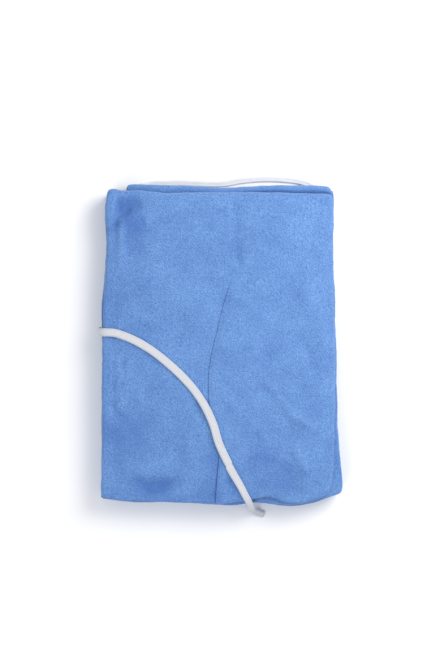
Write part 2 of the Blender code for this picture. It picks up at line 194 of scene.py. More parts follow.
def mesh_object(name, points, faces, marks):
    """A smooth object from points in millimetres.

    Marks are named point values that the materials read: one number for each point, or a
    place in millimetres on the cloth while it lay flat.
    """
    mesh = bpy.data.meshes.new(name)
    mesh.from_pydata((points * MM).tolist(), [], faces)
    mesh.shade_smooth()
    for mark, values in marks.items():
        values = np.asarray(values, np.float32)
        if values.ndim == 1:
            attribute = mesh.attributes.new(mark, "FLOAT", "POINT")
            attribute.data.foreach_set("value", values)
        else:
            places = np.column_stack([values * MM, 0 * values[:, 0]]).astype(np.float32)
            attribute = mesh.attributes.new(mark, "FLOAT_VECTOR", "POINT")
            attribute.data.foreach_set("vector", places.ravel())
    print(name, len(points), "points", len(faces), "faces")
    return new_object(name, mesh)


# %% [markdown]
# ## The two ties
# Both ties are narrow strips of soft nonwoven, folded lengthwise and pressed flat. A
# bevelled curve would do for a round cord, but a tape has a crown, a pressed fold line
# and a thin rim, so a cross-section is carried along the route instead. The waist tie
# comes out between the layers on the left side, crosses the face and ends free beyond
# the lower edge. The neck tie lies below the rear fold, and only its bight looks out.

# %% Routes of the ties
WAIST_ROUTE = table(
    "x y z",
    (-115.5, 13.4, 13.4),
    (-119, 13.4, 13.4),
    (-121.7, 13.3, 14.8),
    (-122.9, 13.1, 17.8),
    (-122.9, 12.8, 21.6),
    (-121.5, 12.4, 25.8),
    (-117.8, 12.1, 28.8),
    (-112.8, 12, 30.2),
    (-107, 11.6, 30.6),
    (-100, 9.6, 30.7),
    (-85, 3.4, 31.1),
    (-70, -5.6, 31.3),
    (-54, -18, 31.3),
    (-38, -33, 31.4),
    (-26.2, -46.4, 31.7),
    (-15.8, -62.1, 32.7),
    (-7.6, -80.2, 33),
    (-2.3, -98.2, 33),
    (2.6, -109.6, 32.9),
    (12.4, -128.8, 32.6),
    (18.5, -139.6, 32.1),
    (23.8, -150, 31.4),
    (26.6, -155.2, 29.6),
    (28.7, -160, 25.8),
    (30, -163.6, 20.6),
    (31, -165.2, 14.4),
    (32.2, -166.6, 8.4),
    (34.4, -168.4, 3.8),
    (38.2, -170.2, 1.7),
    (43.6, -172, 1.3),
)
NECK_ROUTE = table(
    "x y z",
    (-89, 152.6, 4.7),
    (-85, 156.4, 4.7),
    (-79, 160, 3.7),
    (-71, 161.9, 1.8),
    (-56, 162.6, 1.3),
    (-41, 163, 1.3),
    (-26, 162.4, 1.3),
    (-6, 161.8, 1.3),
    (6, 162.6, 1.3),
    (19, 165, 1.3),
    (34, 166.6, 1.3),
    (49, 167.2, 1.3),
    (64, 166.6, 1.3),
    (78, 164.8, 1.4),
    (88, 161.8, 2.6),
    (94, 157.6, 4.4),
    (97, 152.8, 4.7),
)
END_STATIONS = np.array([0.08, 0.2, 0.4, 0.7, 1.1, 1.6, 2.2])


def centre_line(route, spacing):
    """Points along the smooth curve through a route, closer at both ends, and their distance."""
    stops = np.stack([route[axis] for axis in "xyz"], axis=1)
    run = np.append(0.0, np.cumsum(np.linalg.norm(np.diff(stops, axis=0), axis=1)))
    even = np.linspace(0, run[-1], int(run[-1] / spacing) + 1)[4:-4]
    along = np.concatenate([[0.0], END_STATIONS, even, run[-1] - END_STATIONS[::-1], run[-1:]])
    return np.stack([smooth_curve(along, run, stops[:, i]) for i in range(3)], axis=1), along


waist_line, waist_run = centre_line(WAIST_ROUTE, 0.7)
neck_line, neck_run = centre_line(NECK_ROUTE, 0.8)
print("waist tie", round(waist_run[-1]), "mm, neck tie", round(neck_run[-1]), "mm")

# %% [markdown]
# The tape's own directions come next. Its width stays level where it lies, and on the
# steep stretches at the packet's edges it is carried over from both sides.

# %% Directions along a route
STEEP = 0.45


def level_widths(line):
    """Unit vectors along the tape and across it, and up from its face.

    A tape that wraps round an edge turns over. The side that looks up for longer is its face.
    """
    along = unit(np.gradient(line, axis=0))
    level = np.cross([0.0, 0.0, 1.0], along)
    lying = np.flatnonzero(np.linalg.norm(level, axis=1) > STEEP)
    flat = unit(level[lying])
    turned = np.append(1.0, np.sign(np.sum(flat[1:] * flat[:-1], axis=1)))
    flat = flat * np.cumprod(turned)[:, None]
    place = np.arange(len(line))
    across = np.stack([np.interp(place, lying, flat[:, i]) for i in range(3)], axis=1)
    across = unit(across - along * np.sum(across * along, axis=1, keepdims=True))
    up = np.cross(along, across)
    face = np.sign(np.median(up[:, 2]))
    return along, across * face, up * face


waist_up = level_widths(waist_line)[2][:, 2]
print("the waist tie's face looks up at", round(100 * np.mean(waist_up > 0)), "% of its stations")

# %% [markdown]
# The section is a flat oval: a power of the cosine across makes it fuller than an
# ellipse. The rims and the pressed line are a rise and a groove on its upper side. One
# hard crease crosses the waist tie below the middle, where it was once folded double.

# %% Section of the tape
SECTION_POINTS = 40
WIDE_FULLNESS = 0.70
WIDTH_WAVER, THICKNESS_WAVER, PATH_WAVER = 0.035, 0.12, 0.25
RIM_HEIGHT, RIM_WIDTH = 0.03, 0.90
LINE_DEPTH, LINE_WIDTH, LINE_PLACE = 0.26, 0.60, -0.30
WRINKLE_DEPTH, WRINKLE_SIZE, WRINKLE_SLIMNESS = 0.16, 6.5, 2.2
END_ROUNDING, END_SLIMNESS = 1.1, 0.04
PINCH_LENGTH, PINCH_DEPTH, PINCH_NARROWING = 1.0, 0.62, 0.14
PINCH_STEP, STEP_LENGTH, STEP_FADING = 0.7, 1.5, 30
NARROWING, NARROWING_RUN = 0.17, 55.0  # past the crease
SETTLING = 0.2  # the tape is thinner than its solid and lies on the same underside


def tape_section(run, width, thickness, crease):
    """Sideways and upward distances of the section's points at each station, and the rim.

    Half the width is swept by a fuller cosine and half the thickness by a sine. Both
    shrink to a point over the last stretch as a quarter circle does, and both are pinched
    at the crease by exp(-(distance / length) ** 2). There the tape also steps aside, and
    further on it is a little narrower.
    """
    turn = np.linspace(0, 2 * math.pi, SECTION_POINTS, endpoint=False)
    oval = np.sign(np.cos(turn)) * np.abs(np.cos(turn)) ** WIDE_FULLNESS
    crown = np.sin(turn)
    to_end = np.clip(np.minimum(run, run[-1] - run) / END_ROUNDING, END_SLIMNESS, 1.0)
    rounding = np.sqrt(1 - (1 - to_end) ** 2)
    pinch = np.exp(-(((run - crease) / PINCH_LENGTH) ** 2))
    widths = width / 2 * (1 + WIDTH_WAVER * line_noise(run, 23.0, 11)) * rounding**0.5
    widths = widths * (1 - PINCH_NARROWING * pinch)
    if crease > 0:
        widths = widths * (1 - NARROWING * ease(0, NARROWING_RUN, run - crease))
    thick = thickness / 2 * (1 + THICKNESS_WAVER * line_noise(run, 15.0, 12)) * rounding
    thick = thick * (1 - PINCH_DEPTH * pinch)
    step = ease(crease - STEP_LENGTH, crease + STEP_LENGTH, run) - ease(crease, crease + STEP_FADING, run)
    wander = PATH_WAVER * line_noise(run, 31.0, 13) - PINCH_STEP * step
    aside = widths[:, None] * oval
    raised = thick[:, None] * crown - SETTLING
    on_top = ease(0.0, 0.5, crown) * rounding[:, None]
    from_rim = np.abs(aside) - (widths - RIM_WIDTH)[:, None]
    rim = on_top * np.exp(-((from_rim / RIM_WIDTH) ** 2))
    line = on_top * np.exp(-(((aside - (widths * LINE_PLACE)[:, None]) / LINE_WIDTH) ** 2))
    waves = soft_noise(run[:, None] + 0 * aside, WRINKLE_SLIMNESS * aside, WRINKLE_SIZE, 14)
    wrinkles = WRINKLE_DEPTH * on_top * waves
    return aside + wander[:, None], raised + RIM_HEIGHT * rim - LINE_DEPTH * line + wrinkles, rim


def tape(name, line, run, width, thickness, crease=-100.0):
    """A closed tube: the tape's section carried along the line, with a fan in each end."""
    _, across, up = level_widths(line)
    aside, raised, rim = tape_section(run, width, thickness, crease)
    points = line[:, None] + aside[..., None] * across[:, None] + raised[..., None] * up[:, None]
    ends = np.stack([points[0].mean(axis=0), points[-1].mean(axis=0)])
    flat = np.stack([run[:, None] + 0 * aside, aside], axis=2).reshape(-1, 2)
    marks = {"rim": np.append(rim.ravel(), [0.0, 0.0]), "flat": np.concatenate([flat, flat[[0, -1]]])}
    points = np.concatenate([points.reshape(-1, 3), ends])
    return mesh_object(name, points, tube_faces(numbered(rim)), marks)


# %% [markdown]
# Both tapes are made with the same functions. Each one rides on the part's only body,
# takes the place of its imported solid, and is declared as a limp cord that is as long as
# the stretch that shows.

# %% The two tapes
WAIST_WIDTH, WAIST_THICKNESS = 8.0, 1.8
NECK_WIDTH, NECK_THICKNESS = 5.6, 1.5
CREASE_PLACE = (10.4, -119.0)
crease_run = waist_run[np.argmin(np.hypot(*(waist_line[:, :2] - CREASE_PLACE).T))]
waist_tie = tape("waist_tie_tape", waist_line, waist_run, WAIST_WIDTH, WAIST_THICKNESS, crease_run)
neck_tie = tape("neck_tie_tape", neck_line, neck_run, NECK_WIDTH, NECK_THICKNESS)
for piece, line, run, width, end, node in (
    (waist_tie, waist_line, waist_run, WAIST_WIDTH, "bare", "waist_tie"),
    (neck_tie, neck_line, neck_run, NECK_WIDTH, "object", "neck_tie"),
):
    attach(piece, "root")
    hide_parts(node)

# %% [markdown]
# ## The outline of the packet
# Seen from above the packet is a rectangle that is nowhere straight. Three tables hold
# the edges as they lie: the sides, the two ends, and the long middle edge where the
# right part of the body lies over the left part.

# %% Edges of the packet
SIDES = table(
    "along left left_low right right_low",
    (-162, -119.8, -120.2, 108.6, 121.2),
    (-148, -120, -120.3, 110.6, 122.6),
    (-120, -119.6, -120.2, 112.4, 120.8),
    (-90, -119, -119.6, 113.2, 117.8),
    (-40, -119.2, -120.2, 113.6, 116.4),
    (10, -118.8, -119.8, 113, 114.8),
    (60, -116.6, -117.6, 112.2, 113.2),
    (105, -114.4, -115.2, 112, 113),
    (140, -116.2, -116.8, 112.2, 113.2),
    (162, -114.8, -115.4, 111.2, 112.2),
)
ENDS = table(
    "across front rear inner lower lower_low",
    (-121, 155.4, 159, 151, -152.8, -153.6),
    (-111, 157.2, 159.6, 152, -153.8, -154.8),
    (-101, 154.8, 160.4, 153, -155, -156),
    (-85, 154.6, 161.1, 156.4, -156.2, -157.4),
    (-62, 152, 160.6, 156.4, -156.9, -158),
    (-30, 152.4, 159.2, 155.4, -158, -159.2),
    (-6, 152.6, 158, 154.6, -158.9, -160.4),
    (8, 152.6, 157.8, 154.4, -157.8, -161.9),
    (28, 152.6, 159.1, 155.4, -154.4, -159.4),
    (45, 152.2, 159.9, 156.2, -152, -159.2),
    (70, 151.8, 160, 156.2, -158.4, -161),
    (95, 151.4, 159.7, 155.8, -155.6, -157.6),
    (110, 151, 159.2, 155, -151, -153),
    (121, 150.6, 158.4, 153.6, -146.8, -149.4),
)
MIDDLE_EDGE = table(
    "along across",
    (-162, -5),
    (-136, -3.6),
    (-112, -1.8),
    (-76, -9.2),
    (-33, -12.2),
    (25, -1),
    (86, 14.8),
    (140, 18),
    (162, 18.6),
)
print("outline tables:", len(SIDES), "rows at the sides,", len(ENDS), "at the ends")

# %% [markdown]
# One grid serves all the cloth on top. Its columns run from the left edge to the middle
# edge and on to the right edge, and its rows from the lower end to the upper one. The
# position of a point depends on both edges at once, so it is found in three rounds, each
# from the places that the last one gave. Corners are pulled in a little, and the edges
# wander by a few tenths of a millimetre, as cut and folded cloth does.

# %% Grid over the upper face
ROLL_REACH = 4.0
MIDDLE_GAP = 0.5
CORNER_PULL = {"lower": (0.2, 2.6), "upper": (1.4, 0.6)}  # left corner, right corner
CORNER_SHARPNESS = 18
LEFT_COLUMNS, RIGHT_COLUMNS, TUCKED_COLUMNS, ROWS = 96, 100, 14, 224
CROWDING = 0.055
EDGE_WANDER, WANDER_SHARPNESS = 0.35, 9


def crowd(part):
    """Spacing from 0 to 1 that is closer at both ends: t - c * sin(2 pi t)."""
    return part - CROWDING * np.sin(2 * math.pi * part)


def plan_grid():
    """Plan positions of the grid's points, and how near each is to the sides and ends."""
    left_part = np.linspace(0, 1, LEFT_COLUMNS + 1)
    right_part = np.linspace(1, 2, RIGHT_COLUMNS + 1)
    across = crowd(np.concatenate([left_part, right_part]) / 2)[None, :]
    on_right_part = (np.arange(across.size) > LEFT_COLUMNS)[None, :]
    along = crowd(np.linspace(0, 1, ROWS + 1))[:, None]
    low, high = ENDS["lower"].mean(), ENDS["front"].mean()
    y = low + (high - low) * along + 0 * across
    for _ in range(3):
        left = read(SIDES, "left", y) + ROLL_REACH
        right = read(SIDES, "right", y) - ROLL_REACH
        middle = read(MIDDLE_EDGE, "across", y) + EDGE_WANDER * line_noise(y, 14.0, 21)
        on_left = left + (middle - MIDDLE_GAP - left) * across * 2
        on_right = middle + (right - middle) * (across * 2 - 1)
        x = np.where(on_right_part, on_right, on_left)
        top = read(ENDS, "front", x) - ROLL_REACH
        bottom = read(ENDS, "lower", x) + ROLL_REACH
        y = bottom + (top - bottom) * along
    side = 2 * across - 1 + 0 * along
    end = 2 * along - 1 + 0 * across
    lower, upper = (np.where(side < 0, *CORNER_PULL[row]) for row in ("lower", "upper"))
    corner = np.abs(side * end) ** CORNER_SHARPNESS * np.where(end < 0, lower, upper)
    x = x - np.sign(side) * corner
    y = y - np.sign(end) * corner
    x = x + np.abs(side) ** WANDER_SHARPNESS * EDGE_WANDER * soft_noise(x, y, 19.0, 22)
    y = y + np.abs(end) ** WANDER_SHARPNESS * EDGE_WANDER * soft_noise(x, y, 19.0, 23)
    return x, y, side, end


plan_x, plan_y, plan_side, plan_end = plan_grid()
print("grid:", plan_x.shape, "points")

# %% [markdown]
# ## Swells, hollows and crumple
# The cloth on top has been pressed flat, yet air is trapped below it. The folds that
# catch the eye are placed one by one, each as a soft ridge or trough along a short line
# that dies away to both sides.

# %% Soft folds placed one by one
RELIEF = table(
    "x0 y0 x1 y1 spread rise",
    (-101, 140, -87, 143, 8, -3),
    (-111, 116, -95, 134, 5, -2.1),
    (-109, 149, -113, 121, 3.8, 1.7),
    (-100.3, 126, -102.3, 82.6, 4, 1),
    (-106.3, 120, -109.3, 82.6, 3, -1.7),
    (12.6, 146, 17.6, 84, 4.2, -1.1),
    (-21, 95, 10, 93, 15, -1.1),
    (-84, -136, -48, -139, 8.5, -1.7),
    (-74, -143, -56, -145, 6, -1.4),
    (-86, -122, -54, -124, 8, 1.4),
    (8, -137, 20, -150, 6.5, -1.2),
    (32, -112, 62, -133.4, 14, -1),
    (74.8, -107.4, 84.8, -125.4, 5.2, 1.7),
    (84.8, -125.4, 80.8, -140, 5.2, 1.7),
    (40.8, -33.4, 70.8, -71.4, 4.6, 1.3),
    (70.8, -71.4, 94.8, -87.4, 4.6, 1.3),
    (-109.3, -59.4, -99.3, -73.4, 5, -1.7),
    (83.8, 54.6, 103.8, 4.6, 9, 1.2),
    (78.8, 4.6, 88.8, -10.4, 7, -1.2),
    (94.8, -139.4, 99.8, -144.4, 3.6, -1.3),
    (-70, 62, -20, 40, 15, 0.9),
    (30, 60, 62, 30, 13, -0.9),
    (-60, -50, -84, -92, 9, -1.1),
)
print("soft folds:", len(RELIEF))

# %% [markdown]
# Creases are narrower and have a sharp middle. They fade towards both ends of their
# lines, and noise bends the lines, because no crease in pressed cloth runs straight.

# %% Creases placed one by one
CREASES = table(
    "x0 y0 x1 y1 spread rise",
    (-112.5, 124, -105, 133.5, 2, -1.6),
    (-106.5, 131.5, -96, 138.5, 2, -1.7),
    (-84, 128, -72, 112, 2.2, -0.9),
    (-115, 6, -114.4, -107, 1.5, -0.8),
    (-111.2, 0, -111.6, -54, 1.5, 0.85),
    (-107.2, 4, -107.8, -75, 1.6, -1),
    (-103, -8, -103.8, -51, 1.7, 0.85),
    (-97.6, -2, -99, -58, 1.8, -0.9),
    (-92.4, -7, -94, -36, 1.7, 0.7),
    (-88, 52, -60, 96, 1.8, -0.4),
    (-96, 128, -66, 138, 1.8, 0.55),
    (-40, 140, -14, 118, 1.8, -0.35),
    (44, 138, 80, 112, 2, 0.45),
    (58, 84, 94, 100, 1.9, -0.4),
    (-30, 20, 26, 34, 2.2, 0.4),
    (52, -14, 74, -40, 1.8, -0.45),
    (36, -47, 60, -47.5, 2, -1.5),
    (55, -45.5, 72, -64, 2, -1.5),
    (46, -38, 76, -70, 2.2, 0.9),
    (72, -66, 92, -86, 2, 0.8),
    (33, -86, 40, -106, 2, -1.1),
    (26, -64, 52, -88, 1.8, -0.6),
    (70.8, -71.4, 96, -88, 1.6, 0.45),
    (-92, -82, -52, -104, 1.8, 0.45),
    (-48, -68, -30, -112, 1.9, -0.4),
    (-88, -131, -44, -133, 2, 0.8),
    (-98, -132, -76, -150, 1.7, -0.45),
    (30, -140, 58, -147, 1.9, -0.9),
    (38, -101, 68, -108, 2, -0.9),
    (64, -107, 80, -122, 2, -0.9),
    (60, -112, 70, -134, 1.9, -0.7),
    (92, -96, 102, -132, 1.7, 0.5),
)
print("creases:", len(CREASES))

# %% [markdown]
# These places are painted a deeper blue, as painted shade in hollows and along the edges.
# That changes no shape, so these places have a table of their own.

# %% Places of deeper blue
PAINTED_SHADES = table(
    "x0 y0 x1 y1 spread rise",
    (-91, 132, -82, 117, 9.5, -2.3),
    (-97, 124, -83, 98, 11, -2.6),
    (-39, 126, -36, 122, 5.5, -1.1),
    (-108, 60, -98, 20, 15, -0.8),
    (-78, 8, -70, 60, 16, -0.9),
    (-95, -45, -60, -36, 10, -0.9),
    (-90, -95, -30, -90, 24, -1.2),
    (-108, -90, -100, -130, 10, -1.5),
    (-86, -135, -66, -142.5, 6.5, -1.7),
    (-66, -142.5, -44, -134.5, 6, -1.7),
    (-104, -149, -8, -151, 7, -1.3),
    (-50, -154, -14, -156, 6, -1.2),
    (-8, -116, -7, -152, 8, -1.9),
    (12, -138, 14, -148, 8, -1.6),
    (27, -118, 44, -145, 9, -1),
    (20, -60, 26, -106, 12, -0.8),
    (38, -112, 70, -120, 8, -1.7),
    (44, -132, 72, -144, 12, -1.5),
    (-4, 120, 22, 108, 16, -0.5),
)
print("places of deeper blue:", len(PAINTED_SHADES))

# %% [markdown]
# Between the folds noise adds the faint crumple that nonwoven keeps once it has been
# folded: its lattice is bent by other noise, and the root of a square turns smooth waves
# into soft creases.

# %% Relief and crumple
CREASE_ROOT, CREASE_FADING = 0.7, 0.3
BROAD_DEPTH, CRUMPLE_DEPTH, SMALL_DEPTH, GRAIN_DEPTH = 0.60, 1.20, 0.34, 0.05
CRUMPLE_MIDDLE = 0.22


def from_line(fold, x, y):
    """Share of the way along a fold's line, and the distance from it."""
    run = np.array([fold["x1"] - fold["x0"], fold["y1"] - fold["y0"]])
    part = ((x - fold["x0"]) * run[0] + (y - fold["y0"]) * run[1]) / (run @ run)
    part = np.clip(part, 0, 1)
    return part, np.hypot(x - fold["x0"] - part * run[0], y - fold["y0"] - part * run[1])


def soft_folds(folds, x, y):
    """Sum over the folds of rise * exp(-(distance to the line / spread) ** 2)."""
    total = np.zeros_like(x)
    for fold in folds:
        _, away = from_line(fold, x, y)
        total += fold["rise"] * np.exp(-((away / fold["spread"]) ** 2))
    return total


def relief(x, y):
    """Ridges and troughs, and creases, which have a sharp middle.

    A crease is rise * exp(-distance / spread). It fades towards both ends of its line,
    which wanders.
    """
    total = soft_folds(RELIEF, x, y)
    u, v = bent(x, y, 2.4, 17.0, 37)
    for fold in CREASES:
        part, away = from_line(fold, u, v)
        fading = ease(0.0, CREASE_FADING, part) * (1 - ease(1 - CREASE_FADING, 1.0, part))
        total += fold["rise"] * fading * np.exp(-np.hypot(away, CREASE_ROOT) / fold["spread"])
    return total


def painted_shade(x, y):
    """Depth of the painted shade: how much deeper the blue is painted at these places."""
    return soft_folds(PAINTED_SHADES, *bent(x, y, 5.0, 21.0, 45))


def soft_creases(noise, softness):
    """Creases where the noise passes through 0: middle height - root of its square."""
    return CRUMPLE_MIDDLE - np.sqrt(noise**2 + softness)


def crumple(x, y):
    """Faint unevenness in millimetres: broad waves, bent soft creases and a fine grain."""
    u, v = bent(x, y, 6.0, 29.0, 31)
    broad = BROAD_DEPTH * soft_noise(u, v, 41.0, 33)
    creases = CRUMPLE_DEPTH * soft_creases(soft_noise(u, v, 23.0, 34), 0.002)
    small = SMALL_DEPTH * soft_creases(soft_noise(v, u, 10.0, 35), 0.003)
    return broad + creases + small + GRAIN_DEPTH * soft_noise(x, y, 3.6, 36)


print("crumple: up to", round(np.abs(crumple(plan_x, plan_y)).max(), 2), "mm")

# %% [markdown]
# The upper face is crowned and falls a little towards its edges, where the relief dies
# away, so that the turned edges start from an even line.

# %% Height of the upper face
TOP_HEIGHT = 29.8
EDGE_DROP = 2.2
SIDE_SHARPNESS, END_SHARPNESS = 7, 9
RELIEF_EDGE = 0.93
EDGE_CALM = 0.4


def top_height(x, y, side, end):
    """Crowned upper face: it falls by EDGE_DROP towards the edges, and the relief is added."""
    inside = (1 - np.abs(side) ** SIDE_SHARPNESS) * (1 - np.abs(end) ** END_SHARPNESS)
    near_edge = ease(RELIEF_EDGE, 1.0, np.maximum(np.abs(side), np.abs(end)))
    folds = relief(x, y) + crumple(x, y) * (1 - EDGE_CALM * near_edge)
    return TOP_HEIGHT - EDGE_DROP * (1 - inside) + folds * (1 - near_edge)


heights = top_height(plan_x, plan_y, plan_side, plan_end)
print("upper face from", round(heights.min(), 1), "to", round(heights.max(), 1), "mm")

# %% [markdown]
# The right part lies over the left one. Its edge stands up as a step in the lower half,
# with a soft shade beside it, and can't be seen in the upper third.

# %% Step at the middle edge
CLOTH_STEP = 1.95
STEP_RUN = 6.0
OVERLAP_FLAT, OVERLAP_END = 36.0, 62.0
SINKING = (45.0, 85.0)
SUNK_START, SUNK_RISE, SUNK_RUN = -0.35, 0.90, 9.0
SHADE_WIDTH = 1.7
MIDDLE_STEP = table(
    "along step shade",
    (-162, 1.8, 3.8),
    (-126, 1.75, 3.8),
    (-104, 1.25, 2.2),
    (-60, 1, 1.1),
    (10, 0.95, 1),
    (162, 0.95, 1),
)


def lift_over_left(x, y):
    """How far the right part is raised where it lies over the tucked left part.

    The edge is a step in the lower half, and the cloth behind it rises a little more.
    Further up it sinks into the cloth below it and comes out again over a few
    millimetres, so that no line shows there.
    """
    past_edge = x - read(MIDDLE_EDGE, "across", y)
    at_edge = read(MIDDLE_STEP, "step", y)
    full = at_edge + (CLOTH_STEP - at_edge) * ease(0.0, STEP_RUN, past_edge)
    sunk = SUNK_START + SUNK_RISE * ease(0.0, SUNK_RUN, past_edge)
    step = full + (sunk - full) * ease(*SINKING, y)
    return step * (1 - ease(OVERLAP_FLAT, OVERLAP_END, past_edge))


def shade_beside_edge(x, y):
    """Depth of the soft shade on the left part along the step."""
    past_edge = np.minimum(x - read(MIDDLE_EDGE, "across", y), 0.0)
    depth = read(MIDDLE_STEP, "shade", y) * (1 - ease(*SINKING, y))
    return depth * np.exp(-((past_edge / SHADE_WIDTH) ** 2))


print("middle edge stands up by", MIDDLE_STEP["step"].min(), "to", MIDDLE_STEP["step"].max(), "mm")

# %% [markdown]
# The packet has been pressed with the waist tie on it, so the cloth below the tie follows
# its underside.

# %% Cloth below the waist tie
ON_FACE = 30.0  # the tie's height where it lies on the upper face
TIE_CLEARANCE = 0.1
BEARING_LIMIT, BEARING_REACH = 0.7, 7.0


def bear_tie(x, y, height):
    """Moves the cloth up or down a little, so that the waist tie lies on it.

    The change is the gap below the tie, 0.7 mm at most, times exp(-(distance / reach) ** 4).
    """
    stations = waist_line[waist_line[:, 2] > ON_FACE][::4]
    away = np.hypot(x[..., None] - stations[:, 0], y[..., None] - stations[:, 1])
    underside = stations[away.argmin(axis=-1), 2] - SETTLING - WAIST_THICKNESS / 2
    change = np.clip(underside - TIE_CLEARANCE - height, -BEARING_LIMIT, BEARING_LIMIT)
    return height + change * np.exp(-((away.min(axis=-1) / BEARING_REACH) ** 4))


print("stations of the tie on the face:", int(np.sum(waist_line[:, 2] > ON_FACE)))

# %% [markdown]
# ## The stacked folds
# At the sides and ends the layers show as stacked folds. The heights of the groups are
# in a table for each side of the packet, and ease from one side's row to the next round
# the corners. Each group is two folds of cloth, whose split wanders up and down.

# %% Heights round the packet
STACK = table(
    "roll_bottom fold_wall upper_low middle_low base_top"
    " upper_back middle_back base_back groove",
    (19.5, 0, 13.4, 6.8, 6.2, 0.8, 0, 1.8, 4),
    (16.5, 2, 11.6, 8.2, 3, 0.2, 0.4, 0, 8),
    (21.5, 0, 14.6, 7.4, 6.8, 1.4, 0, 1.2, 4.5),
    (22, 0, 14, 7, 6.4, 0, 0.8, 1.6, 4.5),
)
LEFT_SIDE, TOP_END, RIGHT_SIDE, LOWER_END = range(4)
STACK_TURN = (0.80, 0.99)
SWAY = table("waves shift out up", (5.0, 0.4, 0.5, 0.35), (8.0, 2.1, 0.4, 0.30), (13.0, 4.4, 0.35, 0.25))
SWAY_END = (0.75, 0.95)
NORMAL_ROUNDS = 6


def border(grid):
    """The grid's outer points, once round anticlockwise from its lower left corner."""
    return np.concatenate([grid[0, :-1], grid[:-1, -1], grid[-1, :0:-1], grid[:0:-1, 0]])


def outward(x, y):
    """Unit normals of a closed loop in plan, from each point's two neighbours, smoothed."""
    run = np.roll(np.stack([x, y]), -1, axis=1) - np.roll(np.stack([x, y]), 1, axis=1)
    normal = np.stack([run[1], -run[0]])
    for _ in range(NORMAL_ROUNDS):
        normal = normal + 0.5 * (np.roll(normal, 1, axis=1) + np.roll(normal, -1, axis=1))
    return normal / np.hypot(*normal)


def at_border(column, side, end):
    """A column of the stack table, eased from the side's row to the end's row."""
    values = STACK[column]
    by_side = np.where(side < 0, values[LEFT_SIDE], values[RIGHT_SIDE])
    by_end = np.where(end > 0, values[TOP_END], values[LOWER_END])
    return by_side + (by_end - by_side) * ease(*STACK_TURN, np.abs(end))


def sway(kind, fold, x, y, end):
    """Uneven shift of one fold round the packet, as a sum of waves in one turn."""
    turn = np.arctan2(y, x)
    waves = sum(wave[kind] * np.sin(wave["waves"] * turn + wave["shift"] * (fold + 1)) for wave in SWAY)
    return waves * (1 - ease(*SWAY_END, end))


def ring(x, y, normal, reach, z):
    """One ring of points round the packet, moved out by reach at height z."""
    return np.stack([x + normal[0] * reach, y + normal[1] * reach, z + 0 * x], axis=1)


def ruffle(along, turn, depth, drift, size, seed):
    """Small waves along a rounded edge, deepest halfway round it: depth * sin(turn) * noise."""
    return depth * math.sin(turn) * soft_noise(along, turn * drift + 0 * along, size, seed)


def roll_underside(x, y, side, end):
    """Height of the underside of the turned edge of the cloth on top."""
    return at_border("roll_bottom", side, end) + sway("up", 0, x, y, end)


edge_x, edge_y = border(plan_x), border(plan_y)
edge_side, edge_end = border(plan_side), border(plan_end)
edge_normal = outward(edge_x, edge_y)
around = np.cumsum(np.hypot(edge_x - np.roll(edge_x, 1), edge_y - np.roll(edge_y, 1)))
print("border:", len(edge_x), "points,", round(around[-1]), "mm round")

# %% [markdown]
# ## The two body parts on top
# Each part is one thin sheet: a grid over the face whose outer points go on round the
# packet's edge as a half oval and return below it. The right part's long middle edge
# is a folded hem, so its points turn under in a small half circle.

# %% Turned edges and hems
ROLL_STEPS = 14
ROLL_FULLNESS = 0.85
RETURN_LEG = 3.0
HEM_SHARE, HEM_LEG, HEM_STEPS = 0.43, 5.0, 6
HEM_THINNING = 0.5
SHEET_WALL = 0.4
OVERLAP_REACH = 0.9


def roll_rows(x, y, normal, top, bottom, reach, seed):
    """Rows of a turned edge: a half oval from the face round to its underside."""
    along = np.cumsum(np.hypot(np.gradient(x), np.gradient(y)))
    rows = []
    for turn in np.linspace(0, math.pi, ROLL_STEPS + 1)[1:]:
        waves = ruffle(along, turn, 0.30, 6, 8.5, seed) + ruffle(along, turn, 0.35, 4, 23.0, seed + 1)
        out = reach * math.sin(turn) ** ROLL_FULLNESS + waves
        rows.append(ring(x, y, normal, out, (top + bottom) / 2 + (top - bottom) / 2 * math.cos(turn)))
    rows.append(ring(x, y, normal, -RETURN_LEG, bottom))
    return rows


def hem_rows(path, inside):
    """Rows of a small half circle that turns the edge of a sheet under, and its leg."""
    into = unit(inside - path)
    normal = unit(np.cross(into, unit(np.gradient(path, axis=0))))
    radius = HEM_SHARE * read(MIDDLE_STEP, "step", path[:, 1])
    radius = (radius * (1 - HEM_THINNING * ease(*SINKING, path[:, 1])))[:, None]
    rows = []
    for turn in np.linspace(0, math.pi, HEM_STEPS + 1)[1:]:
        rows.append(path - into * radius * math.sin(turn) - normal * radius * (1 - math.cos(turn)))
    rows.append(path + into * HEM_LEG - normal * radius * 2)
    return rows


def run_down(rows):
    """Distance along each column of points, from its first row."""
    steps = np.linalg.norm(np.diff(rows, axis=0), axis=2)
    return np.concatenate([0 * steps[:1], np.cumsum(steps, axis=0)])


def give_wall(obj):
    """Gives a sheet its thickness, inwards from the modelled surface."""
    wall = obj.modifiers.new("cloth wall", "SOLIDIFY")
    wall.thickness = SHEET_WALL * MM
    wall.offset = -1
    return obj


# %% [markdown]
# A part is put together from these rows, with the places of its points on the flat cloth
# for the finish. A Solidify modifier gives the sheet its wall.

# %% One body part


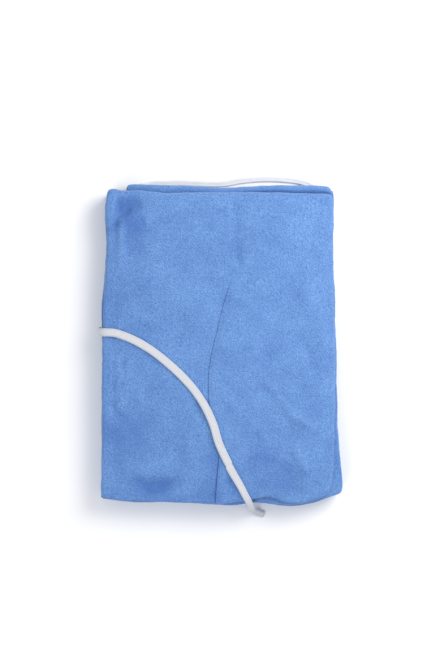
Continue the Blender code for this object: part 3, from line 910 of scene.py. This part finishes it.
def body_part(name, columns, raised, turned, seed):
    """A body part: its face, its turned outer edge, and a hem if it lies on top."""
    x, y, side, end = (grid[:, columns] for grid in (plan_x, plan_y, plan_side, plan_end))
    height = bear_tie(x, y, heights[:, columns] + (lift_over_left(x, y) if raised else 0.0))
    normals = np.zeros((2, plan_x.size))
    normals[:, border(numbered(plan_x))] = edge_normal
    normal = normals[:, turned(numbered(plan_x)[:, columns])]
    local = turned(numbered(x))
    bx, by = x.ravel()[local], y.ravel()[local]
    reach = ROLL_REACH + (OVERLAP_REACH * lift_over_left(bx, by) / CLOTH_STEP if raised else 0.0)
    low = roll_underside(bx, by, side.ravel()[local], end.ravel()[local])
    face = np.stack([x, y, height], axis=2)
    rows = np.array(roll_rows(bx, by, normal, height.ravel()[local], low, reach, seed))
    points = [face.reshape(-1, 3), rows.reshape(-1, 3)]
    down = run_down(np.concatenate([points[0][None, local], rows]))[1:]
    flat_rows = np.stack([bx + normal[0] * down, by + normal[1] * down], axis=2)
    flat = [points[0][:, :2], flat_rows.reshape(-1, 2)]
    row_numbers = numbered(down, x.size)
    faces = [grid_faces(*x.shape)]
    faces += [band_faces(*pair, closed=False) for pair in zip([local, *row_numbers[:-1]], row_numbers)]
    if raised:
        edge = np.concatenate([row_numbers[::-1, 0], numbered(x)[:, 0], row_numbers[:, -1]])
        path = np.concatenate([rows[::-1, 0], face[:, 0], rows[:, -1]])
        inside = np.concatenate([rows[::-1, 1], face[:, 1], rows[:, -2]])
        hems = np.array(hem_rows(path, inside))
        out = run_down(np.concatenate([path[None], hems]))[1:]
        hem_numbers = numbered(out, x.size + down.size)
        lower_edge = np.concatenate(flat)[edge]
        points.append(hems.reshape(-1, 3))
        flat.append((lower_edge[None] - np.stack([out, 0 * out], axis=2)).reshape(-1, 2))
        pairs = zip([edge, *hem_numbers[:-1]], hem_numbers)
        faces += [band_faces(upper[::-1], lower[::-1], closed=False) for upper, lower in pairs]
    points = np.concatenate(points)
    px, py = points[:, 0], points[:, 1]
    # The fold mark carries painted shade: the finish paints troughs, creases, the listed places and the
    # strip beside the middle edge a deeper blue.
    fold = relief(px, py) + crumple(px, py) + painted_shade(px, py)
    fold = fold - (0.0 if raised else shade_beside_edge(px, py))
    marks = {"fold": fold, "flat": np.concatenate(flat)}
    return give_wall(mesh_object(name, points, np.concatenate(faces).tolist(), marks))


# %% [markdown]
# The two parts share the grid's columns at the middle edge. The left part goes on below
# the right one as a tucked strip.

# %% Left and right part
UNDER_ROLL = {"top": 10, "bottom": 3}  # columns that are turned under the right part's edge


def left_turned(grid):
    """Outer points of the left part, from the middle of the top round to the middle below."""
    top, bottom = (LEFT_COLUMNS + 1 + UNDER_ROLL[end] for end in ("top", "bottom"))
    return np.concatenate([grid[-1, :top][:0:-1], grid[:0:-1, 0], grid[0, :bottom]])


def right_turned(grid):
    """Outer points of the right part, from the middle below round to the middle of the top."""
    return np.concatenate([grid[0, :-1], grid[:-1, -1], grid[-1, ::-1]])


left_columns = slice(0, LEFT_COLUMNS + TUCKED_COLUMNS + 2)
right_columns = slice(LEFT_COLUMNS + 1, LEFT_COLUMNS + RIGHT_COLUMNS + 2)
left_part = body_part("left_body_cloth", left_columns, False, left_turned, 41)
right_part = body_part("right_body_cloth", right_columns, True, right_turned, 51)

# %% [markdown]
# ## The rear fold
# Behind the front fold a second fold of the body looks out at the upper end. It is one
# long sheet bent round in a half oval, open towards the layers. Its two ends draw in, as
# the corner of a folded sheet does.

# %% Rear fold
REAR_LEFT_END, REAR_RIGHT_END = -95.4, 111.2
REAR_UNDERSIDE = 6.2
REAR_REACH = 4.8
REAR_TUCK = 1.0
REAR_FRONT_LEVEL = 15.4
REAR_BULGE = (0.5, 2.3)  # height of its crown over the seam, left and right
REAR_BULGE_RUN = (-80.0, 45.0)
REAR_LOWER_LEG = 3.5
REAR_FULLNESS = 0.9
REAR_CORNERS = (4.0, 6.0)
REAR_WAVER, BULGE_WAVER, BULGE_LOSS, UNDERSIDE_RISE = 0.35, 0.4, 0.4, 0.8
REAR_SHADE, REAR_SHADE_DEPTH = 8.0, 3.4
REAR_COLUMNS = 190
REAR_STEPS, REAR_LEG_STEPS = 20, 8
SEAM_GAP = 0.3


def rounded_corner(distance, radius):
    """How far a quarter circle of this radius lies inside the square corner."""
    part = np.clip(1 - distance / radius, 0, 1)
    return radius * (1 - np.sqrt(1 - part**2))


def rear_fold_points():
    """Rows of the rear fold: a leg that rises to the crown, a half oval, and a lower leg."""
    x = np.linspace(REAR_LEFT_END, REAR_RIGHT_END, REAR_COLUMNS + 1)
    from_ends = (x - REAR_LEFT_END, REAR_RIGHT_END - x)
    drawn_in = sum(rounded_corner(d, r) for d, r in zip(from_ends, REAR_CORNERS))
    rear = read(ENDS, "rear", x) - drawn_in + REAR_WAVER * line_noise(x, 17.0, 61)
    front = read(ENDS, "front", x) - ROLL_REACH + REAR_TUCK
    left_bulge, right_bulge = REAR_BULGE
    bulge = left_bulge + (right_bulge - left_bulge) * ease(*REAR_BULGE_RUN, x)
    bulge = bulge + BULGE_WAVER * line_noise(x, 29.0, 65) - BULGE_LOSS * drawn_in
    top = STACK["roll_bottom"][TOP_END] - SEAM_GAP + bulge
    low = REAR_UNDERSIDE + UNDERSIDE_RISE * ease(0, 1, 0.5 + line_noise(x, 37.0, 62))
    rows = []
    for part in np.linspace(0, 1, REAR_LEG_STEPS + 1)[:-1]:
        along = front + (rear - REAR_REACH - front) * part
        level = REAR_FRONT_LEVEL + (top - REAR_FRONT_LEVEL) * ease(0.0, 1.0, part)
        rows.append(np.stack([x, along, level], axis=1))
    for turn in np.linspace(0, math.pi, REAR_STEPS + 1):
        bow = REAR_REACH * (1 - math.sin(turn) ** REAR_FULLNESS)
        out = rear - bow + ruffle(x, turn, 0.30, 5, 9.0, 63)
        height = (top + low) / 2 + (top - low) / 2 * math.cos(turn)
        rows.append(np.stack([x, out, height], axis=1))
    rows.append(np.stack([x, rear - REAR_REACH - REAR_LOWER_LEG, low], axis=1))
    return np.array(rows)


rear_points = rear_fold_points()
rear_down = run_down(rear_points)
# Painted shade: the rear fold is painted a deeper blue along its front leg, below the front fold.
rear_groove_shade = np.exp(-((rear_down / REAR_SHADE) ** 2)) * ease(*REAR_BULGE_RUN, rear_points[..., 0])
rear_faces = grid_faces(*rear_down.shape).tolist()
rear_flat = np.stack([rear_points[..., 0], rear_down], axis=2).reshape(-1, 2)
rear_marks = {"fold": -REAR_SHADE_DEPTH * rear_groove_shade.ravel(), "flat": rear_flat}
rear_fold = give_wall(mesh_object("rear_fold_cloth", rear_points.reshape(-1, 3), rear_faces, rear_marks))

# %% [markdown]
# ## The hidden layers
# All that lies below is one closed body, because nobody sees inside it. Its outline is
# carried down as rings: each fold is a half oval, with a narrow groove below it. The
# grooves are what makes a stack of folds out of one solid.

# %% Fold edges
LOW_ROUNDING = 2.6
LOW_CORNER = 8
NOSE_STEPS = 8
NOSE_FULLNESS = 0.8
NOSE_WAVER = 0.45
NICK_DEPTH, NICK_HEIGHT = 2.6, 0.25
FOLD_LEAN, FOLD_SHARE_WANDER = 0.6, 0.26


def low_reach(x, y, normal):
    """How far the lower layers reach out from the flat part of the cloth on top.

    Round a corner the reach follows a rectangle with slightly rounded corners: the sum of
    (share of the normal / reach) ** p for side and end, to the power -1 / p.
    """
    left = read(SIDES, "left", y) - read(SIDES, "left_low", y)
    right = read(SIDES, "right_low", y) - read(SIDES, "right", y)
    top = read(ENDS, "inner", x) - read(ENDS, "front", x)
    bottom = read(ENDS, "lower", x) - read(ENDS, "lower_low", x)
    by_side = ROLL_REACH + np.where(normal[0] < 0, left, right)
    by_end = ROLL_REACH + np.where(normal[1] > 0, top, bottom)
    shares = (np.abs(normal[0]) / by_side) ** LOW_CORNER + (np.abs(normal[1]) / by_end) ** LOW_CORNER
    return shares ** (-1 / LOW_CORNER)


def edge_ring(reach, height):
    """One ring round the packet, at this distance from the flat part of the cloth on top."""
    return ring(edge_x, edge_y, edge_normal, reach, height)


def nose_rows(out, top, bottom, seed):
    """Rings of one fold edge, a half oval from its top to its foot."""
    half = (top - bottom) / 2
    bulge = np.minimum(half, LOW_ROUNDING)
    shift = NOSE_WAVER * line_noise(around, 33.0, seed)
    rows = []
    for turn in np.linspace(0, math.pi, NOSE_STEPS + 1):
        bow = bulge * (1 - math.sin(turn) ** NOSE_FULLNESS)
        reach = out + shift + ruffle(around, turn, 0.28, 3, 7.5, seed + 1) - bow
        rows.append(edge_ring(reach, bottom + half * (1 + math.cos(turn))))
    return rows


def fold_pair(out, top, bottom, seed):
    """Two folds of cloth, one on the other, with a nick between them.

    The nick wanders up and down, and each fold stands out further where the other one lies back.
    """
    share = 0.5 + FOLD_SHARE_WANDER * line_noise(around, 53.0, seed)
    lean = FOLD_LEAN * line_noise(around, 61.0, seed + 5)
    middle = bottom + (top - bottom) * share
    over, under = middle + NICK_HEIGHT / 2, middle - NICK_HEIGHT / 2
    nick = [edge_ring(out - NICK_DEPTH, height) for height in (over, under)]
    upper_fold = nose_rows(out + lean, top, over, seed + 1)
    return upper_fold + nick + nose_rows(out - lean, under, bottom, seed + 3)


lower_reach = low_reach(edge_x, edge_y, edge_normal)
print("lower layers reach out", round(lower_reach.min(), 1), "to", round(lower_reach.max(), 1), "mm")

# %% [markdown]
# Three pairs of folds make the stack, from the slot that takes the turned edge of the
# cloth on top down to the floor. On the left side the groove below the upper pair opens
# round the waist tie.

# %% Stack of folds
GROOVE_HEIGHT = 0.4
CORE_LID = 1.2
TIE_EXIT_ALONG = 13.4
TIE_POCKET_SPREAD, TIE_POCKET_HEIGHT, TIE_POCKET_DEPTH = 13.0, 3.8, 4.0


def stack_rings():
    """Rings of the whole stack, from the lid inside the turned edge down to the floor."""
    stack = {name: at_border(name, edge_side, edge_end) for name in STACK.dtype.names}
    parted = np.exp(-(((edge_y - TIE_EXIT_ALONG) / TIE_POCKET_SPREAD) ** 2)) * (edge_x < 0)
    out, up = (
        [(1 - parted) * sway(kind, fold, edge_x, edge_y, edge_end) for fold in range(3)]
        for kind in ("out", "up")
    )
    under_roll = roll_underside(edge_x, edge_y, edge_side, edge_end)
    slot_floor = under_roll - SEAM_GAP - stack["fold_wall"]
    upper_low = stack["upper_low"] + TIE_POCKET_HEIGHT / 2 * parted + up[1]
    middle_top = upper_low - GROOVE_HEIGHT - TIE_POCKET_HEIGHT * parted
    middle_low = stack["middle_low"] + up[2]
    base_top = stack["base_top"] + up[2]
    slot = -(RETURN_LEG + 2 * SEAM_GAP)
    deep = lower_reach - stack["groove"]
    tie_slot = deep - TIE_POCKET_DEPTH * parted
    rings = [edge_ring(slot, under_roll + CORE_LID), edge_ring(slot, slot_floor)]
    rings += fold_pair(lower_reach - stack["upper_back"] + out[0], slot_floor, upper_low, 71)
    rings += [edge_ring(tie_slot, upper_low), edge_ring(tie_slot, middle_top)]
    rings += fold_pair(lower_reach - stack["middle_back"] + out[1], middle_top, middle_low, 81)
    rings += [edge_ring(deep, middle_low), edge_ring(deep, base_top)]
    rings += fold_pair(lower_reach - stack["base_back"] + out[2], base_top, 0 * edge_x, 91)
    return np.array(rings)


def stack_body(name):
    """The rings as one closed mesh, with a lid on top and a flat underside."""
    rings = stack_rings()
    down = run_down(rings)
    middles = np.array([[0.0, 0.0, rings[0, :, 2].mean()], [0.0, 0.0, 0.0]])
    points = np.concatenate([rings.reshape(-1, 3), middles])
    flat = np.stack([edge_x + edge_normal[0] * down, edge_y + edge_normal[1] * down], axis=2)
    marks = {"fold": 0 * points[:, 0], "flat": np.concatenate([flat.reshape(-1, 2), middles[:, :2]])}
    return mesh_object(name, points, tube_faces(numbered(down)), marks)


folded_layers = stack_body("stacked_layers")

# %% [markdown]
# ## Where each sheet rides
# Each piece of cloth rides on the part's only body and takes the place of its imported
# solid.

for piece, node, slot in (
    (left_part, "left_panel", "blue_cloth"),
    (right_part, "right_panel", "blue_cloth"),
    (rear_fold, "rear_fold", "blue_cloth"),
    (folded_layers, "folded_layers", "blue_cloth_inner"),
):
    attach(piece, "root")
    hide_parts(node)

# %% [markdown]
# ## Materials
# A colour is given as the hex value that a screen shows and is turned to linear light by
# one function. One more function adds a node with its settings, and what comes from
# another node is linked to it. A colour mix is used most: its input 0 is the share, 6 and
# 7 are the two colours, and its output 2 is the mixed colour.

# %% Colour and node helpers
COLOUR_MIX = ("ShaderNodeMix", {"data_type": "RGBA"})


def linear(hex_colour):
    """Linear red, green, blue and alpha of an sRGB hex colour."""
    values = np.array([int(hex_colour[i : i + 2], 16) for i in (1, 3, 5)]) / 255
    values = np.where(values <= 0.04045, values / 12.92, ((values + 0.055) / 1.055) ** 2.4)
    return (*values.tolist(), 1.0)


def feed(tree, node, inputs):
    """Links a node's inputs where they are sockets, and sets them where they are values."""
    for name, value in inputs.items():
        if isinstance(value, bpy.types.NodeSocket):
            tree.links.new(value, node.inputs[name])
        else:
            node.inputs[name].default_value = value


def add(tree, kind, settings=None, inputs=None):
    """Adds one node with its settings and inputs."""
    made = tree.nodes.new(kind)
    for name, value in (settings or {}).items():
        setattr(made, name, value)
    feed(tree, made, inputs or {})
    return made


def new_material(name):
    """An empty material with its Principled shader, and the shader itself."""
    material = bpy.data.materials.new(name)
    material.use_nodes = True
    return material, material.node_tree, material.node_tree.nodes["Principled BSDF"]


# %% [markdown]
# The cloth is spunbond polypropylene: endless fibres laid down at random, then welded in
# small points. The eye sees a soft mottle where fibres crowd, short streaks along them,
# and the faint diamond pattern of the weld points. The real fibres are 0.02 mm thick and
# the points 1.5 mm apart. At one pixel for a millimetre both would only flicker, so the
# streaks are drawn 1 mm wide and 4 mm long, and the points 2.2 mm apart and weak.

# %% Weld points and fibre streaks
WELD_SPACING = 2.2
WELD_SQUASH, WELD_RIM = 0.8, (0.34, 0.18)  # shares of the spacing
STREAK_SIZE, STREAK_WEIGHT = 1.0, 0.42
STREAKS = ((1.00, 4.0), (0.40, 4.5))  # the way they run, and their length in widths


def weld_points(tree, place):
    """1 on each weld point and 0 between: cells of an even lattice, turned by 45 degrees."""
    lattice = {"Vector": place, "Rotation": (0.0, 0.0, math.pi / 4), "Scale": (1.0, WELD_SQUASH, 1.0)}
    turned = add(tree, "ShaderNodeMapping", inputs=lattice).outputs["Vector"]
    cells = add(
        tree,
        "ShaderNodeTexVoronoi",
        {"voronoi_dimensions": "2D"},
        {"Vector": turned, "Scale": 1 / (WELD_SPACING * MM), "Randomness": 0.0},
    )
    rim = {"Value": cells.outputs["Distance"], "From Min": WELD_RIM[0], "From Max": WELD_RIM[1]}
    return add(tree, "ShaderNodeMapRange", inputs=rim).outputs["Result"]


def fibre_streaks(tree, place):
    """Two sets of slanted streaks: noise whose coordinates are stretched along each."""
    streaks = []
    for turn, length in STREAKS:
        stretch = {"Vector": place, "Rotation": (0.0, 0.0, turn), "Scale": (1.0, length, 1.0)}
        along = add(tree, "ShaderNodeMapping", {"vector_type": "TEXTURE"}, stretch).outputs["Vector"]
        noise = {"Vector": along, "Scale": 1 / (STREAK_SIZE * MM), "Detail": 2.0}
        streaks.append(add(tree, "ShaderNodeTexNoise", inputs=noise).outputs["Fac"])
    both = add(tree, "ShaderNodeMath", {"operation": "ADD"}, {0: streaks[0], 1: streaks[1]}).outputs[0]
    weighed = {0: both, 1: STREAK_WEIGHT, 2: -STREAK_WEIGHT}
    return add(tree, "ShaderNodeMath", {"operation": "MULTIPLY_ADD"}, weighed).outputs[0]


# %% [markdown]
# The fibres are plastic, with a low sheen and an index near 1.5. Hollows get a deeper
# blue, as painted shade in troughs and creases, and broad clouds of the same blue stand
# for the uneven thickness of the web.

# %% Spunbond cloth
MOTTLE_SIZE, CLOUD_SIZE = 1.3, 34.0
CROWDED = (0.275, 0.725)  # where the cloth counts as thin and as full
CLOUDY, CLOUD_DEPTH = (0.36, 0.68), 0.34
HOLLOW_SHADE, HOLLOW_SHADE_DEPTH = (-0.2, -4.6), 0.62  # millimetres
WELD_SHADE, WELD_HEIGHT = 0.20, -0.35
CLOTH_GRAIN = 0.25
FIBRE_INDEX = 1.49


def spunbond(name, thin, full, cloud_and_shade_blue):
    """Blue nonwoven: the colours of sparse fibres, of crowded ones, and of clouds and painted shade."""
    material, tree, shader = new_material(name)
    place = add(tree, "ShaderNodeAttribute", {"attribute_name": "flat"}).outputs["Vector"]
    noise = {"Vector": place, "Scale": 1 / (MOTTLE_SIZE * MM), "Detail": 3.0, "Roughness": 0.60}
    mottle = add(tree, "ShaderNodeTexNoise", inputs=noise).outputs["Fac"]
    fibres = fibre_streaks(tree, place)
    crowd_value = add(tree, "ShaderNodeMath", {"operation": "ADD"}, {0: mottle, 1: fibres}).outputs[0]
    noise = {"Vector": place, "Scale": 1 / (CLOUD_SIZE * MM), "Detail": 4.0, "Roughness": 0.68}
    cloud = add(tree, "ShaderNodeTexNoise", inputs=noise).outputs["Fac"]
    welds = weld_points(tree, place)
    limits = {"Value": crowd_value, "From Min": CROWDED[0], "From Max": CROWDED[1]}
    share = add(tree, "ShaderNodeMapRange", inputs=limits).outputs["Result"]
    colour = add(tree, *COLOUR_MIX, {0: share, 6: linear(thin), 7: linear(full)}).outputs[2]
    spots = add(tree, "ShaderNodeMath", {"operation": "MULTIPLY"}, {0: welds, 1: WELD_SHADE}).outputs[0]
    colour = add(tree, *COLOUR_MIX, {0: spots, 6: colour, 7: linear(thin)}).outputs[2]
    limits = {"Value": cloud, "From Min": CLOUDY[0], "From Max": CLOUDY[1], "To Max": CLOUD_DEPTH}
    cloudy = add(tree, "ShaderNodeMapRange", inputs=limits).outputs["Result"]
    colour = add(tree, *COLOUR_MIX, {0: cloudy, 6: colour, 7: linear(cloud_and_shade_blue)}).outputs[2]
    # Painted shade: the lower the fold mark, the deeper the blue that is painted on.
    fold = add(tree, "ShaderNodeAttribute", {"attribute_name": "fold"}).outputs["Fac"]
    limits = {"Value": fold, "From Min": HOLLOW_SHADE[0], "From Max": HOLLOW_SHADE[1], "To Max": HOLLOW_SHADE_DEPTH}
    deep = add(tree, "ShaderNodeMapRange", inputs=limits).outputs["Result"]
    colour = add(tree, *COLOUR_MIX, {0: deep, 6: colour, 7: linear(cloud_and_shade_blue)}).outputs[2]
    limits = {"Value": crowd_value, "From Min": 0.2, "From Max": 0.8, "To Min": 0.62, "To Max": 0.80}
    rough = add(tree, "ShaderNodeMapRange", inputs=limits).outputs["Result"]
    sunk_welds = {0: welds, 1: WELD_HEIGHT, 2: crowd_value}
    height = add(tree, "ShaderNodeMath", {"operation": "MULTIPLY_ADD"}, sunk_welds).outputs[0]
    grain = {"Height": height, "Strength": 0.40, "Distance": CLOTH_GRAIN * MM}
    bump = add(tree, "ShaderNodeBump", inputs=grain).outputs["Normal"]
    feed(tree, shader, {"Base Color": colour, "Roughness": rough, "Normal": bump, "IOR": FIBRE_INDEX})
    feed(tree, shader, {"Specular IOR Level": 0.35, "Sheen Weight": 0.18, "Sheen Roughness": 0.5})
    return material


cloth = spunbond("spunbond_nonwoven_blue", "#426cab", "#7aa5da", "#2e589f")
# Painted shade: the stacked layers take a copy of the cloth that is painted a little darker.
inner_cloth_shaded = spunbond("spunbond_nonwoven_blue_inner", "#406aa9", "#78a3d9", "#2c559c")
for piece in (left_part, right_part, rear_fold):
    piece.data.materials.append(cloth)
folded_layers.data.materials.append(inner_cloth_shaded)
print("cloth finish on 4 pieces")

# %% [markdown]
# The ties are the same kind of nonwoven, undyed and softer: a strip folded and pressed.
# It is matt, off-white, and a little grey where the fibres are sparse. Its rims are painted
# greyer and a little bluer, as painted shade that tones down the light on them. Its fuzz is
# as fine as the cloth's fibres and is drawn 1.6 mm wide. The neck tie's finish is a copy
# painted whiter than the waist tie's, as painted light.

# %% White tape
FUZZ_SIZE, FUZZ_HEIGHT = 1.6, 0.3


def white_tape(name, sparse, dense, shaded_rim):
    """Undyed nonwoven tape: a fine fuzz, and painted shade on its rims at both sides."""
    material, tree, shader = new_material(name)
    place = add(tree, "ShaderNodeTexCoord").outputs["Object"]
    noise = {"Vector": place, "Scale": 1 / (FUZZ_SIZE * MM), "Detail": 3.0, "Roughness": 0.6}
    fuzz = add(tree, "ShaderNodeTexNoise", inputs=noise).outputs["Fac"]
    colour = add(tree, *COLOUR_MIX, {0: fuzz, 6: linear(sparse), 7: linear(dense)}).outputs[2]
    rim = add(tree, "ShaderNodeAttribute", {"attribute_name": "rim"}).outputs["Fac"]
    # Painted shade: the rims take a greyer, bluer colour.
    colour = add(tree, *COLOUR_MIX, {0: rim, 6: colour, 7: linear(shaded_rim)}).outputs[2]
    grain = {"Height": fuzz, "Strength": 0.4, "Distance": FUZZ_HEIGHT * MM}
    bump = add(tree, "ShaderNodeBump", inputs=grain).outputs["Normal"]
    feed(tree, shader, {"Base Color": colour, "Normal": bump, "Roughness": 0.85})
    feed(tree, shader, {"IOR": FIBRE_INDEX, "Sheen Weight": 0.2})
    return material


waist_tie.data.materials.append(white_tape("nonwoven_tape_offwhite", "#b6b8bd", "#d7d8da", "#b9bdc6"))
# Painted light: the neck tie's copy of the tape is painted whiter than the waist tie's.
neck_tie.data.materials.append(white_tape("nonwoven_tape_painted_white", "#cbcdd0", "#eaebec", "#d8dade"))
print("tape finish on 2 pieces")

# %% [markdown]
# ## Floor and light
# The packet lies on plain pale paper. A large soft light stands to the upper right, so
# folds are lit on their right and shaded on their left, and a weaker one at the lower
# left opens the shadows. The world is a pale grey that fills the rest.

# %% Floor
FLOOR_HALF, FLOOR_DROP = 6.0, 0.0002  # metres
PAPER_GRAIN = 60
corners = [(x * FLOOR_HALF, y * FLOOR_HALF, -FLOOR_DROP) for x, y in ((-1, -1), (1, -1), (1, 1), (-1, 1))]
floor_mesh = bpy.data.meshes.new("floor")
floor_mesh.from_pydata(corners, [], [(0, 1, 2, 3)])
floor = new_object("floor", floor_mesh)
paper, paper_tree, paper_shader = new_material("matt_paper")
paper_place = add(paper_tree, "ShaderNodeTexCoord").outputs["Object"]
paper_noise = {"Vector": paper_place, "Scale": 1 / (PAPER_GRAIN * MM), "Detail": 3.0}
paper_grain = add(paper_tree, "ShaderNodeTexNoise", inputs=paper_noise).outputs["Fac"]
paper_mix = {0: paper_grain, 6: linear("#f2f2f3"), 7: linear("#f5f5f5")}
paper_colour = add(paper_tree, *COLOUR_MIX, paper_mix).outputs[2]
feed(paper_tree, paper_shader, {"Base Color": paper_colour, "Roughness": 0.9})
floor_mesh.materials.append(paper)

# %% Lights


def soft_light(name, place, size, power, tint):
    """A square light at a place in millimetres, turned to look at the packet."""
    data = bpy.data.lights.new(name, "AREA")
    data.size = size * MM
    data.energy = power
    data.color = linear(tint)[:3]
    lamp = new_object(name, data)
    lamp.location = np.array(place) * MM
    away = unit(np.array(place))
    lamp.rotation_euler = (math.acos(away[2]), 0.0, math.atan2(away[1], away[0]) + math.pi / 2)


soft_light("key_light", (560.0, 460.0, 660.0), 620.0, 8.4, "#fffdfa")
soft_light("fill_light", (-650.0, -950.0, 950.0), 900.0, 6.5, "#f8faff")
world = bpy.data.worlds.new("studio")
bpy.context.scene.world = world
world.use_nodes = True
background = world.node_tree.nodes["Background"]
feed(world.node_tree, background, {"Color": linear("#f4f6fa"), "Strength": 0.70})
bpy.context.scene.view_settings.view_transform = "Standard"
